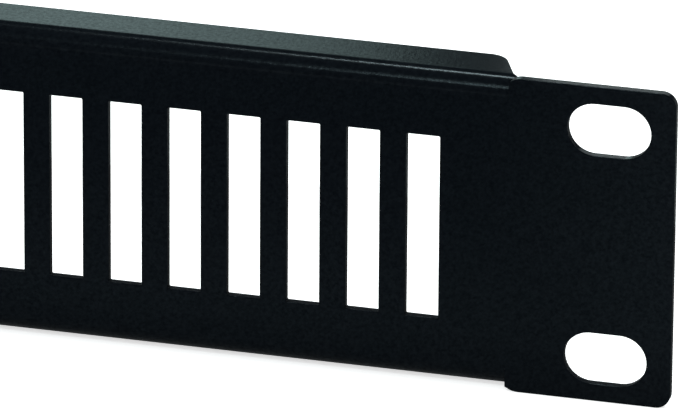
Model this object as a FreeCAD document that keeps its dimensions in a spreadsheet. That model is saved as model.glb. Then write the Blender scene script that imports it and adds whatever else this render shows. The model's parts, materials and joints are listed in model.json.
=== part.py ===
"""A vented blanking panel for one unit of a 19 inch rack, folded from one sheet of steel.

The sheet is punched flat: two ears with a pair of mounting slots each, and between them a row
of upright vents. Its long edges are then folded back 90 degrees, so the middle of the panel is a
shallow channel that keeps the thin sheet stiff. The ears stay flat and stand a little proud of
the folds, so that they cover the rails. Each fold runs hard up to its ear: the blank is lanced
there without loss of metal, so that the one bends while the other stays flat.

Millimetres. X runs across the rack, Y runs into it and Z is up. The origin is the middle of the
four mounting slots, on the plane where the backs of the ears meet the rails.
"""
import FreeCAD, Part
import math
import os
import Sketcher

NODE = "vented_panel"
SHEET = "Sizes"

# Driving sizes, each written once. The rest is worked out from them.
SIZES = {
    "panel_width": 482.6,  # ear edge to ear edge, the 19 inches of the rack
    "rack_unit": 44.45,  # one unit of rack height
    "unit_gap": 0.79,  # what a panel leaves free of its unit, shared by both edges
    "sheet_thickness": 1.2,
    "ear_width": 22.1,  # flat end of the panel beyond the folds
    "ear_corner": 2.0,  # radius of the ear's outer corners
    "shoulder_radius": 2.6,  # rounded inner corner of the ear
    "shoulder_drop": 0.67,  # how far that corner has fallen where it meets the fold
    "fold_drop": 0.33,  # how far the folded edge lies inside the ear's edge
    "bend_inside": 1.6,  # inner radius of the folds
    "flange_depth": 8.6,  # front face to the flange's rear edge
    "flange_setback": 2.5,  # how far the flange's end leans in by its rear edge
    "flange_corner": 2.9,  # radius of the flange's rear corners
    "slot_inset": 8.75,  # ear edge to the middle of a mounting slot
    "slot_length": 11.0,
    "slot_width": 7.1,
    "next_unit_pitch": 12.7,  # from a unit's last hole to the first of the next
    "vent_width": 4.45,
    "vent_height": 25.4,
    "vent_corner": 0.4,
    "vent_bar": 3.55,  # metal left between two vents
    "vent_end_margin": 8.0,  # least plain metal between the last vent and the fold's end
}


def cell(alias):
    return f"{SHEET}.{alias}"


# Sizes that follow, as expressions on the sheet.
SHEET_THICKNESS = cell("sheet_thickness")
HALF_WIDTH = f"({cell('panel_width')} / 2)"
HALF_HEIGHT = f"(({cell('rack_unit')} - {cell('unit_gap')}) / 2)"
FOLD_HALF_LENGTH = f"({HALF_WIDTH} - {cell('ear_width')})"
FOLD_HALF_HEIGHT = f"({HALF_HEIGHT} - {cell('fold_drop')})"
SHOULDER_START = f"({HALF_HEIGHT} - {cell('shoulder_drop')})"
BEND_LINE = f"({FOLD_HALF_HEIGHT} - {cell('bend_inside')} - {SHEET_THICKNESS})"
FLANGE_REAR = f"({cell('flange_depth')} - {SHEET_THICKNESS})"
SLOT_X = f"({HALF_WIDTH} - {cell('slot_inset')})"
SLOT_Z = f"(({cell('rack_unit')} - {cell('next_unit_pitch')}) / 2)"
VENT_PITCH = f"({cell('vent_width')} + {cell('vent_bar')})"
VENT_ROOM = f"(2 * ({FOLD_HALF_LENGTH} - {cell('vent_end_margin')}) - {cell('vent_width')})"
VENT_COUNT = f"(floor({VENT_ROOM} / {VENT_PITCH}) + 1)"
VENT_SPAN = f"(({VENT_COUNT} - 1) * {VENT_PITCH})"

# Points of a sketch element, and the sketch's own axes and origin.
START, END, CENTRE = range(1, 4)
X_AXIS, Y_AXIS = range(-1, -3, -1)
ORIGIN = (X_AXIS, START)


def main():
    doc = FreeCAD.newDocument("blanking_panel")
    write_sheet(doc)
    body = doc.addObject("PartDesign::Body", "Panel")
    body.Label = NODE

    channel = fold_channel(body)
    ear = add_ear(body)
    slots = punch_mounting_slots(body)
    trim = lean_flange_ends(body)
    other_end = mirror_across_middle(body, [ear, slots, trim])
    vents = punch_vents(body)
    round_flange_corners(body)
    body.Placement = FreeCAD.Placement()
    doc.recompute()

    check_document(doc)
    print(f"vents {vents.Occurrences}, pitch {value(body, VENT_PITCH):.2f}")
    print(f"channel {channel.Shape.Volume:.0f}, both ends {other_end.Shape.Volume:.0f} mm3")
    write_parts([body])


def write_sheet(doc):
    """Puts each driving size in a cell of its own, with its name as the cell's alias."""
    sheet = doc.addObject("Spreadsheet::Sheet", SHEET)
    for row, (alias, size) in enumerate(SIZES.items(), start=1):
        sheet.set(f"A{row}", alias)
        sheet.set(f"B{row}", str(size))
        sheet.setAlias(f"B{row}", alias)
    doc.recompute()


def value(obj, expression):
    """What an expression on the sheet comes to, for drawing a sketch near its final shape."""
    return float(obj.evalExpression(expression))


def sketch_on(body, name, role):
    """A sketch on one of the body's own origin planes."""
    plane = next(feature for feature in body.Origin.OriginFeatures if feature.Role == role)
    sketch = body.newObject("Sketcher::SketchObject", name)
    sketch.AttachmentSupport = [(plane, "")]
    sketch.MapMode = "FlatFace"
    return sketch


def point(x, y):
    return FreeCAD.Vector(x, y, 0)


def line(x1, y1, x2, y2):
    return Part.LineSegment(point(x1, y1), point(x2, y2))


def arc(x, y, radius, first_degrees, last_degrees):
    """An arc that runs anticlockwise from the first angle to the last."""
    circle = Part.Circle(point(x, y), FreeCAD.Vector(0, 0, 1), radius)
    return Part.ArcOfCircle(circle, math.radians(first_degrees), math.radians(last_degrees))


def constrain(sketch, kind, *references):
    sketch.addConstraint(Sketcher.Constraint(kind, *references))


def drive(sketch, name, expression, kind, *references):
    """Adds a dimension and ties it to the sheet."""
    size = value(sketch, expression)
    index = sketch.addConstraint(Sketcher.Constraint(kind, *references, size))
    sketch.renameConstraint(index, name)
    sketch.setExpression(f"Constraints.{name}", expression)


def join_loop(sketch, joints):
    """Joins elements end to end: each joint is kind, element, point, element, point."""
    for kind, *references in joints:
        constrain(sketch, kind, *references)


def fold_channel(body):
    """The folded middle: web, two round bends and two flanges, as one section along X."""
    half = value(body, FOLD_HALF_HEIGHT)
    thick = value(body, SHEET_THICKNESS)
    inside = value(body, cell("bend_inside"))
    outside = inside + thick
    rear = value(body, FLANGE_REAR)
    bend = value(body, BEND_LINE)

    sketch = sketch_on(body, "ChannelSection", "YZ_Plane")
    top, top_bend, front, low_bend, low, low_edge = range(6)
    low_inner, low_inner_bend, back, top_inner_bend, top_inner, top_edge = range(6, 12)
    sketch.addGeometry(
        [
            line(rear, half, inside, half),
            arc(inside, bend, outside, 90, 180),
            line(-thick, bend, -thick, -bend),
            arc(inside, -bend, outside, 180, 270),
            line(inside, -half, rear, -half),
            line(rear, -half, rear, -half + thick),
            line(rear, -half + thick, inside, -half + thick),
            arc(inside, -bend, inside, 180, 270),
            line(0, -bend, 0, bend),
            arc(inside, bend, inside, 90, 180),
            line(inside, half - thick, rear, half - thick),
            line(rear, half - thick, rear, half),
        ]
    )
    join_loop(
        sketch,
        [
            ("Tangent", top, END, top_bend, START),
            ("Tangent", top_bend, END, front, START),
            ("Tangent", front, END, low_bend, START),
            ("Tangent", low_bend, END, low, START),
            ("Coincident", low, END, low_edge, START),
            ("Coincident", low_edge, END, low_inner, START),
            ("Tangent", low_inner, END, low_inner_bend, END),
            ("Tangent", low_inner_bend, START, back, START),
            ("Tangent", back, END, top_inner_bend, END),
            ("Tangent", top_inner_bend, START, top_inner, START),
            ("Coincident", top_inner, END, top_edge, START),
            ("Coincident", top_edge, END, top, START),
        ],
    )
    for level in (top, low, low_inner, top_inner):
        constrain(sketch, "Horizontal", level)
    for upright in (front, low_edge, back, top_edge):
        constrain(sketch, "Vertical", upright)
    constrain(sketch, "PointOnObject", back, START, Y_AXIS)
    constrain(sketch, "Coincident", top_bend, CENTRE, top_inner_bend, CENTRE)
    constrain(sketch, "Coincident", low_bend, CENTRE, low_inner_bend, CENTRE)
    constrain(sketch, "Equal", top_inner_bend, low_inner_bend)
    constrain(sketch, "Symmetric", top, START, low, END, X_AXIS)
    drive(sketch, "bend_inside", cell("bend_inside"), "Radius", top_inner_bend)
    drive(sketch, "thickness", SHEET_THICKNESS, "DistanceX", front, START, *ORIGIN)
    drive(sketch, "half_height", FOLD_HALF_HEIGHT, "DistanceY", *ORIGIN, top, START)
    drive(sketch, "flange_rear", FLANGE_REAR, "DistanceX", *ORIGIN, top, START)

    channel = body.newObject("PartDesign::Pad", "Channel")
    channel.Profile = sketch
    channel.Midplane = True
    channel.setExpression("Length", f"2 * {FOLD_HALF_LENGTH}")
    body.Document.recompute()
    return channel


def add_ear(body):
    """The flat ear at +X, with four round corners. It joins the channel along its root."""
    inner = value(body, FOLD_HALF_LENGTH)
    start = value(body, SHOULDER_START)
    outer = value(body, HALF_WIDTH)
    half = value(body, HALF_HEIGHT)
    corner = value(body, cell("ear_corner"))
    shoulder = value(body, cell("shoulder_radius"))
    # The round inner corner is cut off by the fold before it has turned a quarter.
    rise = start - (half - shoulder)
    run = math.sqrt(shoulder**2 - rise**2)
    cut = math.degrees(math.atan2(rise, -run))

    sketch = sketch_on(body, "EarOutline", "XZ_Plane")
    root, crown, top, corner_top, side, corner_low, low, crown_low = range(8)
    sketch.addGeometry(
        [
            line(inner, -start, inner, start),
            arc(inner + run, half - shoulder, shoulder, 90, cut),
            line(inner + run, half, outer - corner, half),
            arc(outer - corner, half - corner, corner, 0, 90),
            line(outer, half - corner, outer, corner - half),
            arc(outer - corner, corner - half, corner, 270, 360),
            line(outer - corner, -half, inner + run, -half),
            arc(inner + run, shoulder - half, shoulder, -cut, 270),
        ]
    )
    join_loop(
        sketch,
        [
            ("Coincident", root, END, crown, END),
            ("Tangent", crown, START, top, START),
            ("Tangent", top, END, corner_top, END),
            ("Tangent", corner_top, START, side, START),
            ("Tangent", side, END, corner_low, END),
            ("Tangent", corner_low, START, low, START),
            ("Tangent", low, END, crown_low, END),
            ("Coincident", crown_low, START, root, START),
        ],
    )
    constrain(sketch, "Vertical", side)
    for level in (top, low):
        constrain(sketch, "Horizontal", level)
    constrain(sketch, "Equal", crown, crown_low)
    constrain(sketch, "Equal", corner_top, corner_low)
    constrain(sketch, "Symmetric", root, START, root, END, X_AXIS)
    drive(sketch, "fold_length", FOLD_HALF_LENGTH, "DistanceX", *ORIGIN, root, END)
    drive(sketch, "shoulder_start", SHOULDER_START, "DistanceY", *ORIGIN, root, END)
    drive(sketch, "half_width", HALF_WIDTH, "DistanceX", *ORIGIN, side, START)
    drive(sketch, "half_height", HALF_HEIGHT, "DistanceY", *ORIGIN, top, END)
    drive(sketch, "half_height_low", HALF_HEIGHT, "DistanceY", low, START, *ORIGIN)
    drive(sketch, "corner", cell("ear_corner"), "Radius", corner_top)
    drive(sketch, "shoulder", cell("shoulder_radius"), "Radius", crown)

    ear = body.newObject("PartDesign::Pad", "Ear")
    ear.Profile = sketch
    ear.setExpression("Length", SHEET_THICKNESS)
    body.Document.recompute()
    return ear


def punch_mounting_slots(body):
    """The two slots of one ear. They lie flat, so that a rail can be a little out of place."""
    x = value(body, SLOT_X)
    z = value(body, SLOT_Z)
    radius = value(body, cell("slot_width")) / 2
    reach = value(body, cell("slot_length")) / 2 - radius

    sketch = sketch_on(body, "MountingSlotOutlines", "XZ_Plane")
    for level in (z, -z):
        over, right, under, left = sketch.addGeometry(
            [
                line(x - reach, level + radius, x + reach, level + radius),
                arc(x + reach, level, radius, -90, 90),
                line(x + reach, level - radius, x - reach, level - radius),
                arc(x - reach, level, radius, 90, 270),
            ]
        )
        join_loop(
            sketch,
            [
                ("Tangent", over, END, right, END),
                ("Tangent", right, START, under, START),
                ("Tangent", under, END, left, END),
                ("Tangent", left, START, over, START),
            ],
        )
        constrain(sketch, "Horizontal", over)
        constrain(sketch, "Equal", right, left)
        name = "upper" if level > 0 else "lower"
        drive(sketch, f"{name}_radius", f"{cell('slot_width')} / 2", "Radius", right)
        drive(
            sketch,
            f"{name}_reach",
            f"{cell('slot_length')} - {cell('slot_width')}",
            "DistanceX",
            left,
            CENTRE,
            right,
            CENTRE,
        )
        drive(
            sketch,
            f"{name}_right_end",
            f"{SLOT_X} + ({cell('slot_length')} - {cell('slot_width')}) / 2",
            "DistanceX",
            *ORIGIN,
            right,
            CENTRE,
        )
        height = (*ORIGIN, right, CENTRE) if level > 0 else (right, CENTRE, *ORIGIN)
        drive(sketch, f"{name}_height", SLOT_Z, "DistanceY", *height)

    slots = body.newObject("PartDesign::Pocket", "MountingSlots")
    slots.Profile = sketch
    slots.Type = "ThroughAll"
    slots.Midplane = True
    body.Document.recompute()
    return slots


def lean_flange_ends(body):
    """Cuts the end of both flanges at +X to a line that leans in towards their rear edge."""
    inner = value(body, FOLD_HALF_LENGTH)
    bend = value(body, cell("bend_inside"))
    rear = value(body, FLANGE_REAR)
    setback = value(body, cell("flange_setback"))

    sketch = sketch_on(body, "FlangeEndWaste", "XY_Plane")
    lean, behind, beside = range(3)
    sketch.addGeometry(
        [
            line(inner, bend, inner - setback, rear),
            line(inner - setback, rear, inner, rear),
            line(inner, rear, inner, bend),
        ]
    )
    join_loop(
        sketch,
        [
            ("Coincident", lean, END, behind, START),
            ("Coincident", behind, END, beside, START),
            ("Coincident", beside, END, lean, START),
        ],
    )
    constrain(sketch, "Horizontal", behind)
    constrain(sketch, "Vertical", beside)
    drive(sketch, "fold_length", FOLD_HALF_LENGTH, "DistanceX", *ORIGIN, beside, END)
    drive(sketch, "bend_line", cell("bend_inside"), "DistanceY", *ORIGIN, beside, END)
    drive(sketch, "flange_rear", FLANGE_REAR, "DistanceY", *ORIGIN, behind, START)
    drive(sketch, "setback", cell("flange_setback"), "DistanceX", behind, START, behind, END)

    waste = body.newObject("PartDesign::Pocket", "FlangeEnds")
    waste.Profile = sketch
    waste.Type = "ThroughAll"
    waste.Midplane = True
    body.Document.recompute()
    return waste


def mirror_across_middle(body, features):
    """Repeats the ear, its slots and the flange ends at -X."""
    plane = next(part for part in body.Origin.OriginFeatures if part.Role == "YZ_Plane")
    mirrored = body.newObject("PartDesign::Mirrored", "OtherEnd")
    mirrored.Originals = features
    mirrored.MirrorPlane = (plane, [""])
    body.Tip = mirrored
    body.Document.recompute()
    return mirrored


def punch_vents(body):
    """One upright vent at the -X end of the row, repeated along X."""
    half_width = value(body, cell("vent_width")) / 2
    half_height = value(body, cell("vent_height")) / 2
    corner = value(body, cell("vent_corner"))
    x = -value(body, VENT_SPAN) / 2
    inner_x = half_width - corner
    inner_z = half_height - corner

    sketch = sketch_on(body, "VentOutline", "XZ_Plane")
    top, top_left, left, low_left, low, low_right, right, top_right = range(8)
    sketch.addGeometry(
        [
            line(x + inner_x, half_height, x - inner_x, half_height),
            arc(x - inner_x, inner_z, corner, 90, 180),
            line(x - half_width, inner_z, x - half_width, -inner_z),
            arc(x - inner_x, -inner_z, corner, 180, 270),
            line(x - inner_x, -half_height, x + inner_x, -half_height),
            arc(x + inner_x, -inner_z, corner, 270, 360),
            line(x + half_width, -inner_z, x + half_width, inner_z),
            arc(x + inner_x, inner_z, corner, 0, 90),
        ]
    )
    loop = (top, top_left, left, low_left, low, low_right, right, top_right)
    for first, second in zip(loop, loop[1:] + loop[:1]):
        constrain(sketch, "Tangent", first, END, second, START)
    for level in (top, low):
        constrain(sketch, "Horizontal", level)
    constrain(sketch, "Vertical", right)
    for other in (low_left, low_right, top_right):
        constrain(sketch, "Equal", top_left, other)
    constrain(sketch, "Symmetric", left, START, left, END, X_AXIS)
    drive(sketch, "corner", cell("vent_corner"), "Radius", top_left)
    drive(sketch, "width", cell("vent_width"), "DistanceX", left, START, right, END)
    drive(sketch, "height", cell("vent_height"), "DistanceY", low, START, top, END)
    first_edge = f"{VENT_SPAN} / 2 + {cell('vent_width')} / 2"
    drive(sketch, "first_edge", first_edge, "DistanceX", left, START, *ORIGIN)

    vent = body.newObject("PartDesign::Pocket", "Vent")
    vent.Profile = sketch
    vent.Type = "ThroughAll"
    vent.Midplane = True
    body.Document.recompute()

    axis = next(part for part in body.Origin.OriginFeatures if part.Role == "X_Axis")
    row = body.newObject("PartDesign::LinearPattern", "VentRow")
    row.Originals = [vent]
    row.Direction = (axis, [""])
    row.setExpression("Occurrences", VENT_COUNT)
    row.setExpression("Length", VENT_SPAN)
    body.Tip = row
    body.Document.recompute()
    return row


def round_flange_corners(body):
    """Rounds the upright edges where the leaning flange ends meet the flanges' rear edges."""
    base = body.Tip
    corner_x = value(body, f"{FOLD_HALF_LENGTH} - {cell('flange_setback')}")
    rear = value(body, FLANGE_REAR)
    near = 1e-4
    names = []
    for number, edge in enumerate(base.Shape.Edges, start=1):
        middle = edge.BoundBox.Center
        is_upright = edge.BoundBox.XLength < near and edge.BoundBox.YLength < near
        is_corner = abs(abs(middle.x) - corner_x) < near and abs(middle.y - rear) < near
        if is_upright and is_corner:
            names.append(f"Edge{number}")
    rounded = body.newObject("PartDesign::Fillet", "FlangeCorners")
    rounded.Base = (base, names)
    rounded.setExpression("Radius", cell("flange_corner"))
    body.Document.recompute()
    return rounded


def check_document(doc):
    """Stops if any object failed, or if a sub-part is empty or isn't one valid solid."""
    for obj in doc.Objects:
        bad = [state for state in obj.State if state in ("Invalid", "Error")]
        if bad:
            raise RuntimeError(f"{obj.Name} failed: {obj.State}")
    for body in doc.findObjects("PartDesign::Body"):
        shape = body.Shape
        if shape.isNull() or not shape.isValid() or len(shape.Solids) != 1:
            raise RuntimeError(f"{body.Label} is not one valid solid")


def write_parts(bodies):
    os.makedirs("parts", exist_ok=True)
    for body in bodies:
        shape = body.Shape
        box = shape.BoundBox
        shape.exportStep(os.path.join("parts", f"{body.Label}.step"))
        sides = f"{box.XLength:.2f} x {box.YLength:.2f} x {box.ZLength:.2f} mm"
        print(f"{body.Label}: {sides}, {shape.Volume / 1000:.2f} cm3")


main()
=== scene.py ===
# %% [markdown]
# # A vented rack blanking panel in black powder coat
#
# The panel closes one free unit at the front of a 19 inch rack. It is one piece of thin steel:
# punched flat with two ears, four mounting slots and a long row of vents, and then folded back
# along both long edges. The whole of it is sprayed with dry powder and baked.
#
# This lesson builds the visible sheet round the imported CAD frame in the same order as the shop
# does: cut the blank, round its edges, fold it, coat it. Then it sets up a small studio.

# %% Load the frame
import json
import math

import bmesh
import bpy
from mathutils import Matrix, Vector
from mathutils.geometry import delaunay_2d_cdt


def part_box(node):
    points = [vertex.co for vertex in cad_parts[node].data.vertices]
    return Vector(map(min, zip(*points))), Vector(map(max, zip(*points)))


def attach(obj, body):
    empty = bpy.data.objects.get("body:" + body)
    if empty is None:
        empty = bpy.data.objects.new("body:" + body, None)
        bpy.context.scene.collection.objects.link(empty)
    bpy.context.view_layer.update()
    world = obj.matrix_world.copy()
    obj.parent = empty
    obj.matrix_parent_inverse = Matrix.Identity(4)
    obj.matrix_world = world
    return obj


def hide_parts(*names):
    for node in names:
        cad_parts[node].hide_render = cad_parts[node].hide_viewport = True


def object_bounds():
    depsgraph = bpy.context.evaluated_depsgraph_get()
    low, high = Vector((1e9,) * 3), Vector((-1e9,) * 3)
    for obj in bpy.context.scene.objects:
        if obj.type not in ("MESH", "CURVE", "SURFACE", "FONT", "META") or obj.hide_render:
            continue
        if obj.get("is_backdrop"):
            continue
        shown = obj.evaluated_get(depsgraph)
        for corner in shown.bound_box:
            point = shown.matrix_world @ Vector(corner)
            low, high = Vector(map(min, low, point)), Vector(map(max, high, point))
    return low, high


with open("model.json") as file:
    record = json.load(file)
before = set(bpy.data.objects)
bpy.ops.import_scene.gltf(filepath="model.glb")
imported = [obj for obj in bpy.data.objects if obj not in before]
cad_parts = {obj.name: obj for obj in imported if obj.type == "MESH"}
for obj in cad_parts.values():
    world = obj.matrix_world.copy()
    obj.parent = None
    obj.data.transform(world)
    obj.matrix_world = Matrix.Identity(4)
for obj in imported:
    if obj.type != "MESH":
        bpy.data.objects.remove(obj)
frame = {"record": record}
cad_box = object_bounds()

NODE = "vented_panel"
MM = 0.001
low_corner, high_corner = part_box(NODE)
print("CAD box in mm:", [round(side / MM, 2) for side in high_corner - low_corner])

# %% [markdown]
# ## Sizes
#
# The frame gives what the outside of the panel measures and how thick the sheet is, and the
# record gives the mounting slots. What they can't say, such as the bends and the vents, is
# repeated here from the construction, in millimetres. Plain names keep them easy to read and to
# change. How far the flange's end leans in is a guess.

# %% Sizes read from the frame
slots = next(m for m in frame["record"]["mounts"] if m["name"] == "rail_slots")["dims"]
HALF_WIDTH = high_corner.x / MM
HALF_HEIGHT = high_corner.z / MM
THICKNESS = -low_corner.y / MM
FLANGE_REAR = high_corner.y / MM
SLOT_X = slots["spacing_x_mm"] / 2
SLOT_Z = slots["spacing_y_mm"] / 2
SLOT_RADIUS = slots["hole_r_mm"]
SLOT_LENGTH = slots["slot_length_mm"]
print(f"sheet {THICKNESS:.2f} mm thick, flanges reach {FLANGE_REAR:.2f} mm behind the ears")

# %% Sizes repeated from the construction
EAR_WIDTH = 22.1
EAR_CORNER = 2.0
SHOULDER_RADIUS = 2.6
SHOULDER_DROP = 0.67
FOLD_DROP = 0.33
BEND_INSIDE = 1.6
FLANGE_SETBACK = 2.5
FLANGE_CORNER = 2.9
VENT_COUNT = 53
VENT_WIDTH = 4.45
VENT_HEIGHT = 25.4
VENT_CORNER = 0.15  # sharper than the solid, as a new punch leaves it
VENT_PITCH = 8.0

FOLD_END = HALF_WIDTH - EAR_WIDTH
FOLD_HALF_HEIGHT = HALF_HEIGHT - FOLD_DROP
BEND_LINE = FOLD_HALF_HEIGHT - BEND_INSIDE - THICKNESS
print(f"folds end at x = {FOLD_END:.2f}, bends start at z = {BEND_LINE:.2f} mm")

# %% [markdown]
# ## The flat blank
#
# A sheet metal worker first works out the flat pattern. A bend eats as much of the sheet as the
# arc half way through its thickness is long, so the flange starts that far past the bend line.
#
# Every outline here is a closed loop of points in the flat sheet, x across and v up. Corners are
# arcs that a formula draws. Holes run the other way round, so that the same rule, turn right
# from the direction of travel, always points out of the metal.

# %% Flat pattern
BEND_LENGTH = math.pi / 2 * (BEND_INSIDE + THICKNESS / 2)
BEND_END = BEND_LINE + BEND_LENGTH
BLANK_EDGE = BEND_END + FLANGE_REAR - BEND_INSIDE
BEND_STEPS = 14
LANCE = 0.02
LANCE_STEPS = 6
ARC_STEP = math.radians(7.5)
CLOSE = 1e-6
print(f"the flat blank is {2 * BLANK_EDGE:.2f} mm high, each bend uses {BEND_LENGTH:.2f} mm")


# %% Outline helpers
def arc_points(x, v, radius, first, last):
    """Points along an arc, in degrees, both ends included. It may run either way round."""
    sweep = math.radians(last - first)
    steps = max(3, round(abs(sweep) / ARC_STEP))
    angles = [math.radians(first) + sweep * k / steps for k in range(steps + 1)]
    return [(x + radius * math.cos(a), v + radius * math.sin(a)) for a in angles]


def rounded_corner(before, corner, after, radius):
    """The arc of that radius which replaces a corner between two straight lines."""
    corner = Vector(corner)
    to_before = (Vector(before) - corner).normalized()
    to_after = (Vector(after) - corner).normalized()
    half_angle = to_before.angle(to_after) / 2
    centre = corner + (to_before + to_after).normalized() * radius / math.sin(half_angle)
    start = corner + to_before * radius / math.tan(half_angle) - centre
    end = corner + to_after * radius / math.tan(half_angle) - centre
    first = math.degrees(math.atan2(start.y, start.x))
    turn = math.degrees(start.angle_signed(end))
    return arc_points(centre.x, centre.y, radius, first, first - turn)


def without_repeats(points):
    """The same closed loop with each place named once."""
    kept = []
    for p in points:
        if not kept or math.dist(p, kept[-1]) > CLOSE:
            kept.append(p)
    if math.dist(kept[0], kept[-1]) < CLOSE:
        kept.pop()
    return kept


# %% Outer edge of the blank
def upper_right_edge():
    """From the ear's middle at +x round to the middle of the upper long edge, anticlockwise."""
    start = HALF_HEIGHT - SHOULDER_DROP
    rise = SHOULDER_RADIUS - SHOULDER_DROP
    run = math.sqrt(SHOULDER_RADIUS**2 - rise**2)
    cut = math.degrees(math.atan2(rise, -run))
    crown_x = FOLD_END + run
    crown_v = HALF_HEIGHT - SHOULDER_RADIUS
    points = [(HALF_WIDTH, 0.0)]
    points += arc_points(HALF_WIDTH - EAR_CORNER, HALF_HEIGHT - EAR_CORNER, EAR_CORNER, 0, 90)
    points += arc_points(crown_x, crown_v, SHOULDER_RADIUS, 90, cut)
    for step in range(LANCE_STEPS + 1):
        points.append((FOLD_END + LANCE / 2, start + (BEND_LINE - start) * step / LANCE_STEPS))
    for step in range(BEND_STEPS + 1):
        points.append((FOLD_END - LANCE / 2, BEND_LINE + BEND_LENGTH * step / BEND_STEPS))
    corner = (FOLD_END - FLANGE_SETBACK, BLANK_EDGE)
    points += rounded_corner((FOLD_END, BEND_END), corner, (0.0, BLANK_EDGE), FLANGE_CORNER)
    return without_repeats(points)


def outer_loop():
    """The whole outer edge, by mirroring a quarter of it."""
    quarter = upper_right_edge()
    upper_left = [(-x, v) for x, v in reversed(quarter)]
    lower_left = [(-x, -v) for x, v in quarter]
    lower_right = [(x, -v) for x, v in reversed(quarter)]
    return without_repeats(quarter + upper_left + lower_left + lower_right)


# %% Holes
def mounting_slot(x, v):
    reach = SLOT_LENGTH / 2 - SLOT_RADIUS
    right = arc_points(x + reach, v, SLOT_RADIUS, 90, -90)
    left = arc_points(x - reach, v, SLOT_RADIUS, -90, -270)
    return without_repeats(right + left)


def vent(x):
    inner_x = VENT_WIDTH / 2 - VENT_CORNER
    inner_v = VENT_HEIGHT / 2 - VENT_CORNER
    points = []
    for side_x, side_v, first in ((1, 1, 90), (1, -1, 0), (-1, -1, -90), (-1, 1, -180)):
        points += arc_points(
            x + side_x * inner_x, side_v * inner_v, VENT_CORNER, first, first - 90
        )
    return without_repeats(points)


holes = [mounting_slot(sx * SLOT_X, sv * SLOT_Z) for sx in (-1, 1) for sv in (-1, 1)]
holes += [vent((k - (VENT_COUNT - 1) / 2) * VENT_PITCH) for k in range(VENT_COUNT)]
loops = [outer_loop()] + holes
print(f"{len(holes)} holes, {sum(len(loop) for loop in loops)} points round all edges")

# %% [markdown]
# ## Rounded edges
#
# A punch leaves one edge of a hole slightly drawn in and the other sharp, and the baked powder
# then rounds both. That tiny radius is what catches light and makes a thin sheet look real, so
# it is modelled, not faked in the material. Each outline becomes a stack of rings: they step
# round the front edge, run straight through the sheet and step round the back edge.
#
# A Bevel modifier could do this, but on a face with this many holes it slips and overlaps. The
# rings also know their own surface direction, which keeps the flat faces truly flat in shading.

# %% Edge rings
FRONT_EDGE_RADIUS = 0.15
BACK_EDGE_RADIUS = 0.10
EDGE_STEPS = 4
LANCE_EDGE = 0.08  # share of the radius that is left where the ear was cut from the fold
LANCE_SHARE = 0.45  # share of the bend along which that cut stays narrow
SOFTENING_RUN = 0.6  # from there an edge needs this far to reach its full radius


def edge_profile():
    """The rings of an edge as (side of the sheet, angle of the surface), front to back.

    The angle is 90 degrees on the front face, 0 on the cut wall and -90 on the back face.
    """
    front = [(1, math.pi / 2 * (1 - step / EDGE_STEPS)) for step in range(EDGE_STEPS + 1)]
    back = [(-1, -math.pi / 2 * step / EDGE_STEPS) for step in range(EDGE_STEPS + 1)]
    return front + back


def edge_softness(x, v):
    """How much of the full edge radius a point of the outer edge has: little along a lance."""
    end = BEND_LINE + LANCE_SHARE * BEND_LENGTH
    along = max(0.0, abs(v) - end) if abs(v) > BEND_LINE else BEND_LINE - abs(v)
    return min(1.0, LANCE_EDGE + math.hypot(abs(x) - FOLD_END, along) / SOFTENING_RUN)


def out_of_metal(loop):
    """A unit vector at each point of a loop, straight out of the metal, and its mitre length."""
    count = len(loop)
    found = []
    for k in range(count):
        here = Vector(loop[k])
        along_in = (here - Vector(loop[k - 1])).normalized()
        along_out = (Vector(loop[(k + 1) % count]) - here).normalized()
        side_in = Vector((along_in.y, -along_in.x))
        side_out = Vector((along_out.y, -along_out.x))
        side = (side_in + side_out).normalized()
        found.append((side, 1 / max(side.dot(side_in), 0.5)))
    return found


# %% [markdown]
# ## Folding
#
# The sheet is drawn flat and then folded by a formula, as the press brake does it. A point keeps
# its depth in the sheet: on the bend it goes round the bend's centre at its own radius, and past
# the bend it lies on the flange.
#
# Metal that is squeezed inside a bend can creep out at the bend's end. The same formula adds
# that, as a slide along x which closes the gap behind the ear's shoulder. How much it creeps is
# a guess, chosen because the gap looks closed.
#
# Surface directions are turned by the slope of that formula, measured with three tiny steps.
# It's less work than a second formula for the directions, and it can't disagree with the shape.

# %% The fold
CREEP = 0.8
CREEP_RUN = 2.2
CREEP_POWER = 4  # keeps most of the creep in the last millimetre
CREEP_STARTS, CREEP_RISE = 56, 12  # degrees round the bend, behind the ear's back
CREEP_ENDS, CREEP_FALL = 90, 18
TINY_STEP = 1e-4


def ease(value):
    """0 below 0, 1 above 1, and a smooth step between."""
    value = min(max(value, 0.0), 1.0)
    return value * value * (3 - 2 * value)


def creep(x, turned):
    """How far the metal slides towards the ear, that many degrees round the bend."""
    near_end = ease(1 - (FOLD_END - abs(x)) / CREEP_RUN) ** CREEP_POWER
    rising = ease((turned - CREEP_STARTS) / CREEP_RISE)
    falling = ease((CREEP_ENDS - turned) / CREEP_FALL)
    return math.copysign(CREEP * near_end * rising * falling, x)


def folded(x, v, depth, on_ear):
    """A point of the flat sheet, folded. depth is counted from the front face."""
    past = abs(v) - BEND_LINE
    if past <= 0 or on_ear:
        return Vector((x, depth - THICKNESS, v))
    turned = min(past / BEND_LENGTH, 1.0) * math.pi / 2
    radius = BEND_INSIDE + THICKNESS - depth
    y = BEND_INSIDE - radius * math.cos(turned) + max(past - BEND_LENGTH, 0.0)
    z = BEND_LINE + radius * math.sin(turned)
    return Vector((x + creep(x, math.degrees(turned)), y, math.copysign(z, v)))


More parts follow.
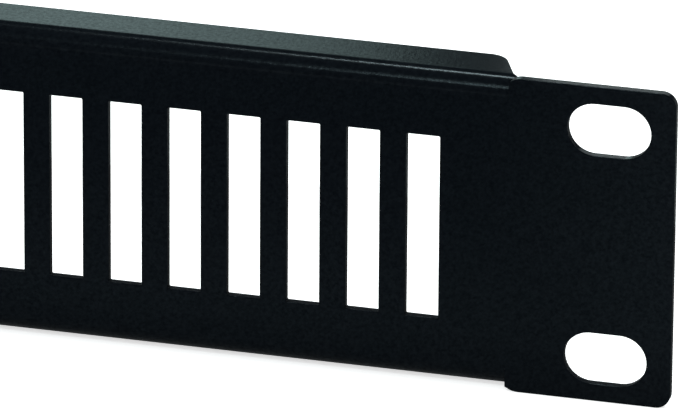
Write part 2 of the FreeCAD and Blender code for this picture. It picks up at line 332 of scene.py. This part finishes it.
def fold(x, v, depth, direction):
    """Folded place and surface direction. direction is across, up and to the front."""
    on_ear = abs(x) > FOLD_END
    step = TINY_STEP
    place = folded(x, v, depth, on_ear)
    slopes = Matrix(
        (
            (folded(x + step, v, depth, on_ear) - folded(x - step, v, depth, on_ear)) / step,
            (folded(x, v + step, depth, on_ear) - folded(x, v - step, depth, on_ear)) / step,
            (folded(x, v, depth + step, on_ear) - folded(x, v, depth - step, on_ear)) / step,
        )
    )
    across, up, front = direction
    return place, (slopes.inverted() @ Vector((across, up, -front))).normalized()


# %% [markdown]
# ## One closed skin
#
# The real panel is one skin of coat round one sheet. The two faces are filled with triangles
# between the edge rings. Cutting the holes with booleans would be shorter to write, but it leaves
# long thin faces that shade badly.
#
# A bend needs an edge at each of its steps, or a triangle would cut straight across the curve.
# Rows of points across the bends make sure of that.

# %% Build the sheet
ROW_STEPS = 6


def bend_rows():
    """Rows of points (x, v) across both bends, close together at the bends' ends."""
    right = [FOLD_END - CREEP_RUN * k / ROW_STEPS for k in range(ROW_STEPS, 0, -1)]
    row = [-x for x in reversed(right)] + right
    for side in (1, -1):
        for step in range(BEND_STEPS + 1):
            yield side * (BEND_LINE + BEND_LENGTH * step / BEND_STEPS), row


class Sheet:
    """Collects the folded points, their surface directions and the faces between them."""

    def __init__(self):
        self.places, self.directions, self.faces = [], [], []

    def point(self, x, v, depth, direction):
        place, turned = fold(x, v, depth, direction)
        self.places.append(place * MM)
        self.directions.append(turned)
        return len(self.places) - 1

    def edge_rings(self, loop):
        """The rounded edge along one outline. Returns its front and back rings."""
        rows = []
        sides = out_of_metal(loop)
        for face, angle in edge_profile():
            full = FRONT_EDGE_RADIUS if face > 0 else BACK_EDGE_RADIUS
            row = []
            for (x, v), (side, mitre) in zip(loop, sides):
                radius = full * edge_softness(x, v)
                inset = radius * (1 - math.cos(angle)) * mitre
                below = radius * (1 - abs(math.sin(angle)))
                depth = below if face > 0 else THICKNESS - below
                px, pv = x - side.x * inset, v - side.y * inset
                direction = (side.x * math.cos(angle), side.y * math.cos(angle), math.sin(angle))
                row.append((self.point(px, pv, depth, direction), px, pv, (x, v)))
            rows.append(row)
        count = len(loop)
        for upper, lower in zip(rows, rows[1:]):
            for k in range(count):
                n = (k + 1) % count
                self.faces.append((upper[k][0], lower[k][0], lower[n][0], upper[n][0]))
        return rows[0], rows[-1]

    def fill(self, rings, facing):
        """Triangles over one side of the sheet, with edges along each step of the bends."""
        flat, owners, ring_of, edges = [], [], [], []
        fold_ends = {}
        for number, ring in enumerate(rings):
            start = len(flat)
            for k, (index, px, pv, (x, v)) in enumerate(ring):
                if abs(abs(x) - FOLD_END + LANCE / 2) < CLOSE:
                    fold_ends[(x > 0, round(v, 6))] = len(flat)
                edges.append((start + k, start + (k + 1) % len(ring)))
                flat.append(Vector((px, pv)))
                owners.append(index)
                ring_of.append(number)
        for v, row in bend_rows():
            first = len(flat)
            for x in row:
                flat.append(Vector((x, v)))
                owners.append(self.point(x, v, 0.0 if facing > 0 else THICKNESS, (0, 0, facing)))
                ring_of.append(0)
            left, right = (fold_ends[(side, round(v, 6))] for side in (False, True))
            chain = [left, *range(first, len(flat)), right]
            edges += list(zip(chain, chain[1:]))
        _, _, triangles, sources = delaunay_2d_cdt(flat, edges, [], 1, CLOSE)[:4]
        for triangle in triangles:
            corners = [sources[k][0] for k in triangle]
            in_ring = {ring_of[k] for k in corners}
            if len(in_ring) == 1 and in_ring != {0}:
                continue  # this one spans a hole
            corners = [owners[k] for k in corners]
            self.faces.append(corners if facing > 0 else corners[::-1])


def build_sheet():
    sheet = Sheet()
    rings = [sheet.edge_rings(loop) for loop in loops]
    sheet.fill([front for front, _ in rings], 1)
    sheet.fill([back for _, back in rings], -1)
    mesh = bpy.data.meshes.new("powder_coated_sheet")
    mesh.from_pydata(sheet.places, [], sheet.faces)
    return mesh, sheet.directions


mesh, directions = build_sheet()
print(f"{len(mesh.vertices)} points, {len(mesh.polygons)} faces")

# %% Smooth shading with the sheet's own directions
panel = bpy.data.objects.new("powder_coated_panel", mesh)
bpy.context.scene.collection.objects.link(panel)
for polygon in mesh.polygons:
    polygon.use_smooth = True
mesh.normals_split_custom_set_from_vertices(directions)
check = bmesh.new()
check.from_mesh(mesh)
open_edges = [edge for edge in check.edges if not edge.is_manifold]
print(f"edges that aren't closed: {len(open_edges)}, volume {check.calc_volume() * 1e6:.2f} cm3")
check.free()
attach(panel, "root")
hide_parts(NODE)


# %% [markdown]
# ## The coat
#
# Satin black powder coat on steel. Dry polyester powder melts into an even skin of about
# 0.07 mm that flows round edges and keeps a very fine orange peel. The eye sees a near black with
# a cool cast, a soft sheen at a low angle, and a faint grain where light rakes along it.
#
# An image wrapped round the sheet could show that, but it'd have seams at the folds. A formula
# in space is chosen instead: it has no seams, and its grain is set in millimetres.
#
# A real coat mirrors about 4% of the light that meets it head on, a specular level of 0.5. The
# level here is about a twelfth of that, and the two softboxes over the bend are bright to make
# up for it. It suits this studio. In other light the coat looks more matt than the real one.

# %% Colours and nodes
def linear(hex_colour):
    """An sRGB hex colour as the linear values that Blender works in."""
    parts = [int(hex_colour[k : k + 2], 16) / 255 for k in (1, 3, 5)]
    return [p / 12.92 if p <= 0.04045 else ((p + 0.055) / 1.055) ** 2.4 for p in parts] + [1.0]


def add_node(tree, kind, links=(), **settings):
    """Adds a node, sets its inputs or properties by name, and links (output, input name or number)."""
    node = tree.nodes.new(kind)
    for name, value in settings.items():
        socket = node.inputs.get(name.replace("_", " "))
        if socket is not None:
            socket.default_value = value
        else:
            setattr(node, name, value)
    for output, name in links:
        tree.links.new(output, node.inputs[name])
    return node


def new_material(name):
    material = bpy.data.materials.new(name)
    material.use_nodes = True
    material.node_tree.nodes.clear()
    return material, material.node_tree


# %% Satin black powder coat
GRAIN_SIZE = 0.45 * MM  # real grain is about 0.15 mm, drawn coarser so that it shows
GRAIN_DEPTH = 0.014 * MM
PEEL_SIZE = 2.2 * MM
PEEL_DEPTH = 0.02 * MM
COAT_DARK = "#080b0f"
COAT_LIGHT = "#0f1317"
COOL_SHEEN = "#dcf2f8"
DULLEST, SHINIEST = 0.024, 0.056  # specular level in the grain's hollows and on its tops


def satin_black_powder_coat():
    material, tree = new_material("satin_black_powder_coat")
    place = add_node(tree, "ShaderNodeTexCoord").outputs["Object"]
    grain = add_node(
        tree, "ShaderNodeTexNoise", [(place, "Vector")],
        Scale=1 / GRAIN_SIZE, Detail=2.0, Roughness=0.6,
    ).outputs["Fac"]
    peel = add_node(
        tree, "ShaderNodeTexNoise", [(place, "Vector")],
        Scale=1 / PEEL_SIZE, Detail=1.0, Roughness=0.4,
    ).outputs["Fac"]
    mottle = add_node(
        tree, "ShaderNodeMapRange", [(grain, "Value")], From_Min=0.3, From_Max=0.7
    ).outputs["Result"]
    tone = add_node(
        tree, "ShaderNodeMix", [(mottle, "Factor")], data_type="RGBA",
        A=linear(COAT_DARK), B=linear(COAT_LIGHT),
    )
    sheen = add_node(
        tree, "ShaderNodeMapRange", [(grain, "Value")],
        From_Min=0.3, From_Max=0.7, To_Min=DULLEST, To_Max=SHINIEST,
    )
    peel_bump = add_node(
        tree, "ShaderNodeBump", [(peel, "Height")], Strength=0.25, Distance=PEEL_DEPTH
    )
    grain_bump = add_node(
        tree, "ShaderNodeBump", [(grain, "Height"), (peel_bump.outputs["Normal"], "Normal")],
        Strength=0.6, Distance=GRAIN_DEPTH,
    )
    shader = add_node(
        tree, "ShaderNodeBsdfPrincipled",
        [
            (tone.outputs["Result"], "Base Color"),
            (sheen.outputs["Result"], "Specular IOR Level"),
            (grain_bump.outputs["Normal"], "Normal"),
        ],
        Roughness=0.16, Specular_Tint=linear(COOL_SHEEN),
    )
    add_node(tree, "ShaderNodeOutputMaterial", [(shader.outputs["BSDF"], "Surface")])
    return material


coat = satin_black_powder_coat()
panel.data.materials.append(coat)
print("coat:", coat.name)

# %% [markdown]
# ## Camera
#
# A long lens from over a metre away shows the right end of the panel, from its front and from
# a little above. From so far away the lines that run back hardly close in on each other, which
# suits a part that a buyer wants to measure by eye.

# %% Camera
CAMERA_TARGET = Vector((197.012, -1.2, 1.674)) * MM
CAMERA_DISTANCE = 1190.1 * MM
CAMERA_AZIMUTH = math.radians(14.956)
CAMERA_ELEVATION = math.radians(22.302)
CAMERA_ROLL = math.radians(0.412)
LENS = 487.0
BACK_TO_CAMERA = Vector(
    (
        math.sin(CAMERA_AZIMUTH) * math.cos(CAMERA_ELEVATION),
        -math.cos(CAMERA_AZIMUTH) * math.cos(CAMERA_ELEVATION),
        math.sin(CAMERA_ELEVATION),
    )
)


def add_camera():
    data = bpy.data.cameras.new("studio_camera")
    data.lens = LENS
    data.sensor_width = 36.0
    data.clip_start = 0.05
    data.clip_end = 50.0
    camera = bpy.data.objects.new("studio_camera", data)
    aim = (-BACK_TO_CAMERA).to_track_quat("-Z", "Y").to_matrix().to_4x4()
    camera.matrix_world = (
        Matrix.Translation(CAMERA_TARGET + BACK_TO_CAMERA * CAMERA_DISTANCE)
        @ aim
        @ Matrix.Rotation(CAMERA_ROLL, 4, "Z")
    )
    bpy.context.scene.collection.objects.link(camera)
    bpy.context.scene.camera = camera
    return camera


camera = add_camera()
print(f"{camera.name} {CAMERA_DISTANCE:.2f} m away, lens {LENS:.0f} mm")

# %% [markdown]
# ## A pale studio
#
# The floor and the backdrop are white, and a satin black coat mirrors them. More light would
# make them white too, but it'd turn the coat grey. So the white is added only to rays that come
# straight from the camera, off a mirror or through glass. What lights the panel is left alone.
#
# A real backdrop has an upper edge, and above it a studio is dark. Mirrored rays see that edge
# and the dark above it, which keeps the coat deep. The camera alone sees white above it too, so
# that a low view has no black sky. So the coat mirrors a darker room than the camera sees.

# %% Rays that see the background
def background_rays(tree):
    """One output: 1 for rays from the camera, off a mirror or through glass, and 0 for light."""
    path = add_node(tree, "ShaderNodeLightPath").outputs
    seen = [(path["Is Camera Ray"], 0), (path["Is Glossy Ray"], 1)]
    seen = add_node(tree, "ShaderNodeMath", seen, operation="MAXIMUM").outputs["Value"]
    seen = [(seen, 0), (path["Is Transmission Ray"], 1)]
    return add_node(tree, "ShaderNodeMath", seen, operation="MAXIMUM").outputs["Value"]


def level_corners(left, right, near, far, z):
    return [(left, near, z), (right, near, z), (right, far, z), (left, far, z)]


def stage_piece(name, corners, material):
    """A flat piece of stage with those four corners, in metres."""
    mesh = bpy.data.meshes.new(name)
    mesh.from_pydata(corners, [], [(0, 1, 2, 3)])
    mesh.materials.append(material)
    piece = bpy.data.objects.new(name, mesh)
    bpy.context.scene.collection.objects.link(piece)
    piece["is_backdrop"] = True
    return piece


# %% Floor
FLOOR_REACH = 12
FLOOR_LIFT = 0.65


def matt_white_paper():
    material, tree = new_material("matt_white_paper")
    paper = add_node(tree, "ShaderNodeBsdfDiffuse", Color=linear("#f4f4f4")).outputs["BSDF"]
    lift = add_node(tree, "ShaderNodeEmission", Color=(1, 1, 1, 1), Strength=FLOOR_LIFT)
    lifted = add_node(
        tree, "ShaderNodeAddShader", [(paper, 0), (lift.outputs["Emission"], 1)]
    ).outputs["Shader"]
    either = [(background_rays(tree), "Fac"), (paper, 1), (lifted, 2)]
    either = add_node(tree, "ShaderNodeMixShader", either)
    add_node(tree, "ShaderNodeOutputMaterial", [(either.outputs["Shader"], "Surface")])
    return material


FLOOR_Z = low_corner.z
floor_corners = level_corners(-FLOOR_REACH, FLOOR_REACH, -FLOOR_REACH, FLOOR_REACH, FLOOR_Z)
stage_piece("floor", floor_corners, matt_white_paper())

# %% Backdrop and ceiling
BACKDROP_TOP = math.radians(5)
BACKDROP_FADE = math.radians(6)
ROOM_LIGHT = 0.6


def studio_world():
    world = bpy.data.worlds.new("studio_world")
    bpy.context.scene.world = world
    world.use_nodes = True
    tree = world.node_tree
    tree.nodes.clear()
    light = add_node(tree, "ShaderNodeBackground", Color=(1, 1, 1, 1), Strength=ROOM_LIGHT)
    direction = add_node(tree, "ShaderNodeTexCoord").outputs["Generated"]
    rise = add_node(tree, "ShaderNodeSeparateXYZ", [(direction, "Vector")]).outputs["Z"]
    backdrop = add_node(
        tree, "ShaderNodeMapRange", [(rise, "Value")], To_Min=1.0, To_Max=0.0,
        From_Min=math.sin(BACKDROP_TOP), From_Max=math.sin(BACKDROP_TOP + BACKDROP_FADE),
    ).outputs["Result"]
    from_camera = add_node(tree, "ShaderNodeLightPath").outputs["Is Camera Ray"]
    white = [(backdrop, 0), (from_camera, 1)]
    white = add_node(tree, "ShaderNodeMath", white, operation="MAXIMUM").outputs["Value"]
    seen = add_node(tree, "ShaderNodeBackground", [(white, "Strength")], Color=(1, 1, 1, 1))
    either = [
        (background_rays(tree), "Fac"),
        (light.outputs["Background"], 1),
        (seen.outputs["Background"], 2),
    ]
    either = add_node(tree, "ShaderNodeMixShader", either)
    add_node(tree, "ShaderNodeOutputWorld", [(either.outputs["Shader"], "Surface")])
    return world


world = studio_world()
print(f"floor at z = {FLOOR_Z / MM:.2f} mm, {world.name} lights with strength {ROOM_LIGHT}")

# %% [markdown]
# ## Cloths on the floor
#
# Seen from above, the panel's face mirrors the floor in front of it, and a white floor makes a
# black face grey. So a studio lays black cloth there. Near the panel and to its right the cloth
# is white: that brightens the lower part of the face and the ear a little. Behind the panel it
# is grey.
#
# A low cloth hangs close behind the panel. The lower edges of the vents face up as the flange
# does, and without it the lamps behind the panel would show in them as well.
#
# The cloths could be kept out of the camera's view by their place alone, but then they'd end too
# far from the panel. Here they're hidden from the camera, and only mirrored rays see them. Where
# they lie, the coat mirrors cloth and the camera sees white floor. The low cloth also casts a
# shadow, as the lamps behind it would shine through it otherwise.

# %% Cloths
CLOTH_LIFT = 0.1 * MM
CLOTH_LEFT, CLOTH_RIGHT = -3, 0.6
CLOTH_FRONT, CLOTH_REAR = -3, 1.5
CLOTH_SPLIT = 2 * MM
BLACK_IN_FRONT, WHITE_IN_FRONT = -85 * MM, 10 * MM
BLACK_AT_RIGHT, WHITE_AT_RIGHT = 185 * MM, 240 * MM
LOW_CLOTH_REACH = 3
LOW_CLOTH_BEHIND = 60 * MM
LOW_CLOTH_TOP = 28 * MM


def cotton_grading():
    """Dyed cotton: white near the panel and to its right, and black far in front."""
    material, tree = new_material("graded_cotton")
    place = add_node(tree, "ShaderNodeTexCoord").outputs["Object"]
    axes = add_node(tree, "ShaderNodeSeparateXYZ", [(place, "Vector")]).outputs
    near = add_node(
        tree, "ShaderNodeMapRange", [(axes["Y"], "Value")], interpolation_type="SMOOTHSTEP",
        From_Min=BLACK_IN_FRONT, From_Max=WHITE_IN_FRONT,
    )
    right = add_node(
        tree, "ShaderNodeMapRange", [(axes["X"], "Value")], interpolation_type="SMOOTHSTEP",
        From_Min=BLACK_AT_RIGHT, From_Max=WHITE_AT_RIGHT,
    )
    white = [(near.outputs["Result"], 0), (right.outputs["Result"], 1)]
    white = add_node(tree, "ShaderNodeMath", white, operation="MAXIMUM").outputs["Value"]
    channels = [(white, "Red"), (white, "Green"), (white, "Blue")]
    grey = add_node(tree, "ShaderNodeCombineColor", channels).outputs["Color"]
    cotton = add_node(tree, "ShaderNodeBsdfDiffuse", [(grey, "Color")])
    add_node(tree, "ShaderNodeOutputMaterial", [(cotton.outputs["BSDF"], "Surface")])
    return material


def felt(name, hex_colour):
    material, tree = new_material(name)
    fibres = add_node(tree, "ShaderNodeBsdfDiffuse", Color=linear(hex_colour))
    add_node(tree, "ShaderNodeOutputMaterial", [(fibres.outputs["BSDF"], "Surface")])
    return material


cloth_z = FLOOR_Z + CLOTH_LIFT
front = level_corners(CLOTH_LEFT, CLOTH_RIGHT, CLOTH_FRONT, CLOTH_SPLIT, cloth_z)
rear = level_corners(CLOTH_LEFT, CLOTH_RIGHT, CLOTH_SPLIT, CLOTH_REAR, cloth_z)
low = [(x, LOW_CLOTH_BEHIND, cloth_z) for x in (-LOW_CLOTH_REACH, LOW_CLOTH_REACH)]
low += [(x, LOW_CLOTH_BEHIND, LOW_CLOTH_TOP) for x in (LOW_CLOTH_REACH, -LOW_CLOTH_REACH)]
cloths = [
    stage_piece("front_cloth", front, cotton_grading()),
    stage_piece("rear_cloth", rear, felt("grey_felt", "#6e6e6e")),
    stage_piece("low_cloth", low, felt("light_grey_felt", "#a8acac")),
]
for cloth in cloths:
    cloth.visible_camera = False
    cloth.visible_diffuse = False
    cloth.visible_shadow = cloth.name == "low_cloth"
print("cloths:", [cloth.name for cloth in cloths])

# %% [markdown]
# ## Lamps
#
# A bend is a long thin mirror that curves. Each softbox appears in it as one bright line, at the
# height where the bend turns the eye towards that box. So a box is placed by that rule: pick the
# angle on the bend, mirror the camera's line of sight there, and hang the box in that direction.
# Moving boxes about until the lines appear would work too, but it takes far longer.
#
# The flange on top lies level, so it mirrors what stands behind the panel, as far up as the
# camera looks down. Cards of light stand there. They grow dimmer towards the right, so that the
# flange does too.

# %% Lamp helpers, all in millimetres
BEND_HEIGHT = 20  # about the middle of the upper bend


def area_light(name, place, target, width, height, radiance, colour):
    """A soft panel of light that shines from place towards target."""
    data = bpy.data.lights.new(name, "AREA")
    data.shape = "RECTANGLE"
    data.size = width * MM
    data.size_y = height * MM
    data.energy = radiance * math.pi * data.size * data.size_y
    data.color = linear(colour)[:3]
    light = bpy.data.objects.new(name, data)
    light.location = Vector(place) * MM
    light.rotation_mode = "QUATERNION"
    light.rotation_quaternion = (Vector(target) - Vector(place)).to_track_quat("-Z", "Y")
    light.visible_camera = False
    bpy.context.scene.collection.objects.link(light)
    return light


def softbox_for_bend(name, angle, distance, left, right, depth, radiance, colour):
    """A softbox that the upper bend mirrors, angle degrees from its top, from x left to right."""
    turned = math.radians(angle)
    normal = Vector((0, -math.sin(turned), math.cos(turned)))
    direction = 2 * normal.dot(BACK_TO_CAMERA) * normal - BACK_TO_CAMERA
    place = Vector(((left + right) / 2, 0, BEND_HEIGHT)) + direction * distance
    return area_light(name, place, place - direction, right - left, depth, radiance, colour)


def card(name, left, right, low, high, behind, radiance, colour):
    """An upright card of light, that far behind the panel."""
    place = ((left + right) / 2, behind, (low + high) / 2)
    target = (place[0], 0, place[2])
    return area_light(name, place, target, right - left, high - low, radiance, colour)


# %% Lamps
FLANGE_CARDS = ((-1500, -58, 3.25), (-58, -26, 2.5), (-26, -4, 1.9))  # left, right, radiance

lamps = [
    softbox_for_bend(
        "upper_bend_softbox", angle=25.0, distance=1000, left=243, right=315, depth=210,
        radiance=100, colour="#e6f4f6",
    ),
    softbox_for_bend(
        "lower_bend_softbox", angle=54.5, distance=1000, left=243, right=315, depth=240,
        radiance=42, colour="#e6f4f6",
    ),
    card(
        "ear_card", left=182, right=275, low=55, high=130, behind=158,
        radiance=2.4, colour="#e6f4f4",
    ),
]
for number, (left, right, radiance) in enumerate(FLANGE_CARDS, start=1):
    lamps.append(
        card(
            f"flange_card_{number}", left, right, low=200, high=522, behind=800,
            radiance=radiance, colour="#d2f2f0",
        )
    )
print("lamps:", {lamp.name: round(lamp.data.energy, 2) for lamp in lamps})

# %% Colour view
bpy.context.scene.view_settings.view_transform = "Standard"

# %% [markdown]
# ## The two boxes
#
# The visible sheet must stay inside the box of the part that it stands for. Both boxes are printed
# here.

# %% Print the boxes and finish
visual_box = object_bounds()
for name, box in (("CAD", cad_box), ("visual", visual_box)):
    print(name, "box in mm:", [[round(value / MM, 3) for value in corner] for corner in box])
